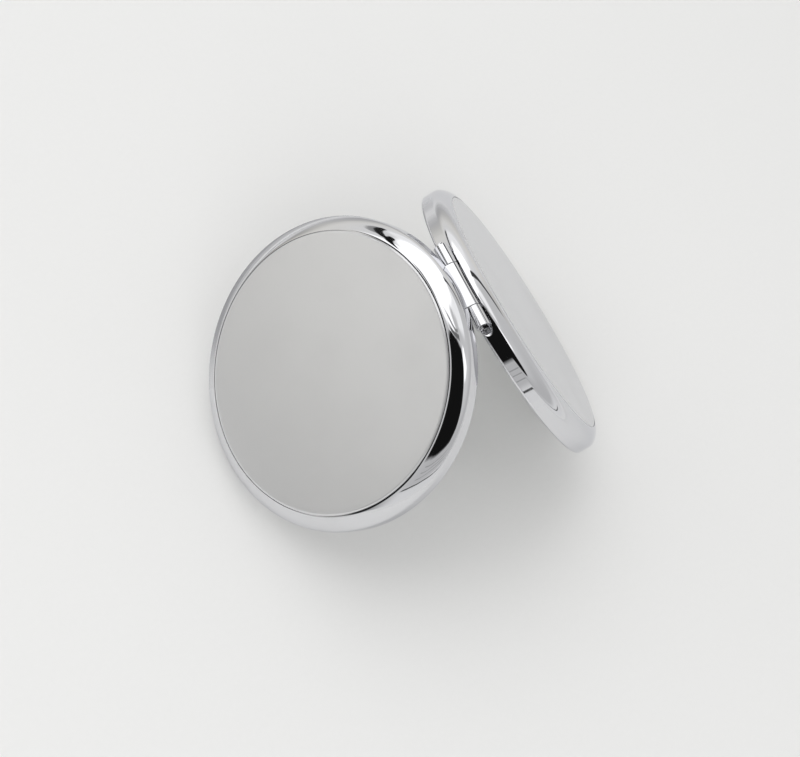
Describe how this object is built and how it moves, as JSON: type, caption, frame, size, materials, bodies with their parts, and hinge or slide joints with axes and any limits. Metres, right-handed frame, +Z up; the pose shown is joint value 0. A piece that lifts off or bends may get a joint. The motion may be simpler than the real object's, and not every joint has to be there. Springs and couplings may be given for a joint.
{
  "type": "compact mirror",
  "caption": "Round pocket mirror of polished metal: disc halves on a pinned side hinge, a plain glass in one and a magnifying glass in the other, standing open like a tent.",
  "frame": {"origin": "on the floor, under the middle of the open tent", "axes": "+X from the base half to the lid half, +Y along the hinge pin, +Z up"},
  "size_m": [0.0862, 0.065, 0.0539],
  "materials": {
    "polished_metal": "mirror polish",
    "mirror_glass": "silvered glass",
    "adhesive_film": "matte",
    "foam": "matte foam",
    "magnet": "nickel plated",
    "rivet_steel": "plain steel"
  },
  "bodies": {
    "base": {"base_shell": "polished_metal", "base_face_plate": "polished_metal", "base_face_film": "adhesive_film", "base_bezel": "polished_metal", "base_mirror": "mirror_glass", "base_mirror_pad": "foam", "base_magnet": "magnet", "base_hinge_leaf": "polished_metal", "base_leaf_rivets": "rivet_steel"},
    "lid": {"lid_shell": "polished_metal", "lid_face_plate": "polished_metal", "lid_face_film": "adhesive_film", "lid_bezel": "polished_metal", "lid_magnifying_mirror": "mirror_glass", "lid_mirror_pad": "foam", "lid_magnet": "magnet", "lid_hinge_leaf": "polished_metal", "lid_leaf_rivets": "rivet_steel", "hinge_pin": "rivet_steel"}
  },
  "joints": [
    {"name": "lid_hinge", "type": "hinge", "parent": "base", "child": "lid", "pos_m": [0, 0, 0.05077], "axis": [0, -1, 0], "range_deg": [-76, 84]}
  ]
}
